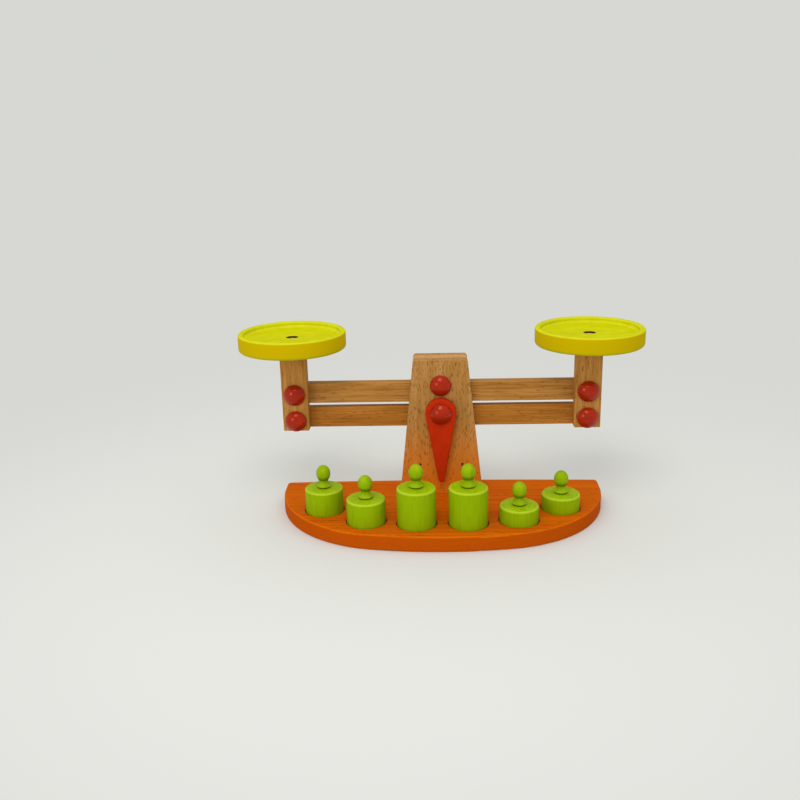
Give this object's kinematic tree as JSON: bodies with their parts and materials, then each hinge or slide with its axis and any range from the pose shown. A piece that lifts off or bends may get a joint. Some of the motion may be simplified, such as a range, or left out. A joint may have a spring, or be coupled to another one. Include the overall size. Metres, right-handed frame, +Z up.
{
  "type": "toy balance scale",
  "caption": "Wooden toy balance scale with a double beam on a tapered tower, two round pans, a pointer and knobbed weights in a half-moon base.",
  "frame": {"origin": "on the plane of the base's underside, under the middle of the tower, on the middle plane of the two beams", "axes": "+X along the beams towards the short weights, -Y towards the front where the weights stand, +Z up"},
  "size_m": [0.319, 0.1293, 0.1503],
  "materials": {
    "orange_board": "orange stained and lacquered beech board, satin",
    "natural_beech": "clear lacquered beech, satin",
    "yellow_wood": "yellow stained and lacquered turned wood, satin",
    "red_wood": "red lacquered turned wood, glossy",
    "green_wood": "light green stained and lacquered turned wood, satin",
    "screw_steel": "yellow zinc plated steel",
    "brad_steel": "dark steel pin, flush with the wood"
  },
  "bodies": {
    "stand": {"base_board": "orange_board", "tower_front": "natural_beech", "tower_back": "natural_beech", "tower_foot_block": "natural_beech", "tower_head_block": "natural_beech", "base_screws": "screw_steel", "tower_brads": "brad_steel", "upper_pivot_peg": "red_wood"},
    "upper_beam_set": {"upper_beam": "natural_beech", "left_upper_peg": "red_wood", "right_upper_peg": "red_wood"},
    "lower_beam_set": {"lower_beam": "natural_beech", "lower_pivot_peg": "red_wood", "pointer": "red_wood", "left_lower_peg": "red_wood", "right_lower_peg": "red_wood"},
    "left_pan_set": {"left_post": "natural_beech", "left_pan": "yellow_wood", "left_pan_screw": "screw_steel"},
    "right_pan_set": {"right_post": "natural_beech", "right_pan": "yellow_wood", "right_pan_screw": "screw_steel"},
    "loose_weight_1": {"weight_1": "green_wood", "knob_1": "green_wood"},
    "loose_weight_2": {"weight_2": "green_wood", "knob_2": "green_wood"},
    "loose_weight_3": {"weight_3": "green_wood", "knob_3": "green_wood"},
    "loose_weight_4": {"weight_4": "green_wood", "knob_4": "green_wood"},
    "loose_weight_5": {"weight_5": "green_wood", "knob_5": "green_wood"},
    "loose_weight_6": {"weight_6": "green_wood", "knob_6": "green_wood"}
  },
  "joints": [
    {"name": "beam_swing", "type": "hinge", "parent": "stand", "child": "upper_beam_set", "pos_m": [0, 0, 0.10465], "axis": [0, 1, 0], "range_deg": [-12, 12]},
    {"name": "lower_beam_swing", "type": "hinge", "parent": "stand", "child": "lower_beam_set", "pos_m": [0, 0, 0.08285], "axis": [0, 1, 0], "range_deg": [-12, 12]},
    {"name": "left_post_swing", "type": "hinge", "parent": "upper_beam_set", "child": "left_pan_set", "pos_m": [-0.117, 0, 0.09925], "axis": [0, 1, 0], "range_deg": [-12, 12]},
    {"name": "right_post_swing", "type": "hinge", "parent": "upper_beam_set", "child": "right_pan_set", "pos_m": [0.117, 0, 0.09925], "axis": [0, 1, 0], "range_deg": [-12, 12]},
    {"name": "weight_1_lift", "type": "slide", "parent": "stand", "child": "loose_weight_1", "axis": [0, 0, 1], "range_m": [0, 0.04]},
    {"name": "weight_2_lift", "type": "slide", "parent": "stand", "child": "loose_weight_2", "axis": [0, 0, 1], "range_m": [0, 0.04]},
    {"name": "weight_3_lift", "type": "slide", "parent": "stand", "child": "loose_weight_3", "axis": [0, 0, 1], "range_m": [0, 0.04]},
    {"name": "weight_4_lift", "type": "slide", "parent": "stand", "child": "loose_weight_4", "axis": [0, 0, 1], "range_m": [0, 0.04]},
    {"name": "weight_5_lift", "type": "slide", "parent": "stand", "child": "loose_weight_5", "axis": [0, 0, 1], "range_m": [0, 0.04]},
    {"name": "weight_6_lift", "type": "slide", "parent": "stand", "child": "loose_weight_6", "axis": [0, 0, 1], "range_m": [0, 0.04]}
  ],
  "couplings": [
    {"joint": "lower_beam_swing", "follows": "beam_swing", "ratio": 1},
    {"joint": "left_post_swing", "follows": "beam_swing", "ratio": -1},
    {"joint": "right_post_swing", "follows": "beam_swing", "ratio": -1}
  ]
}
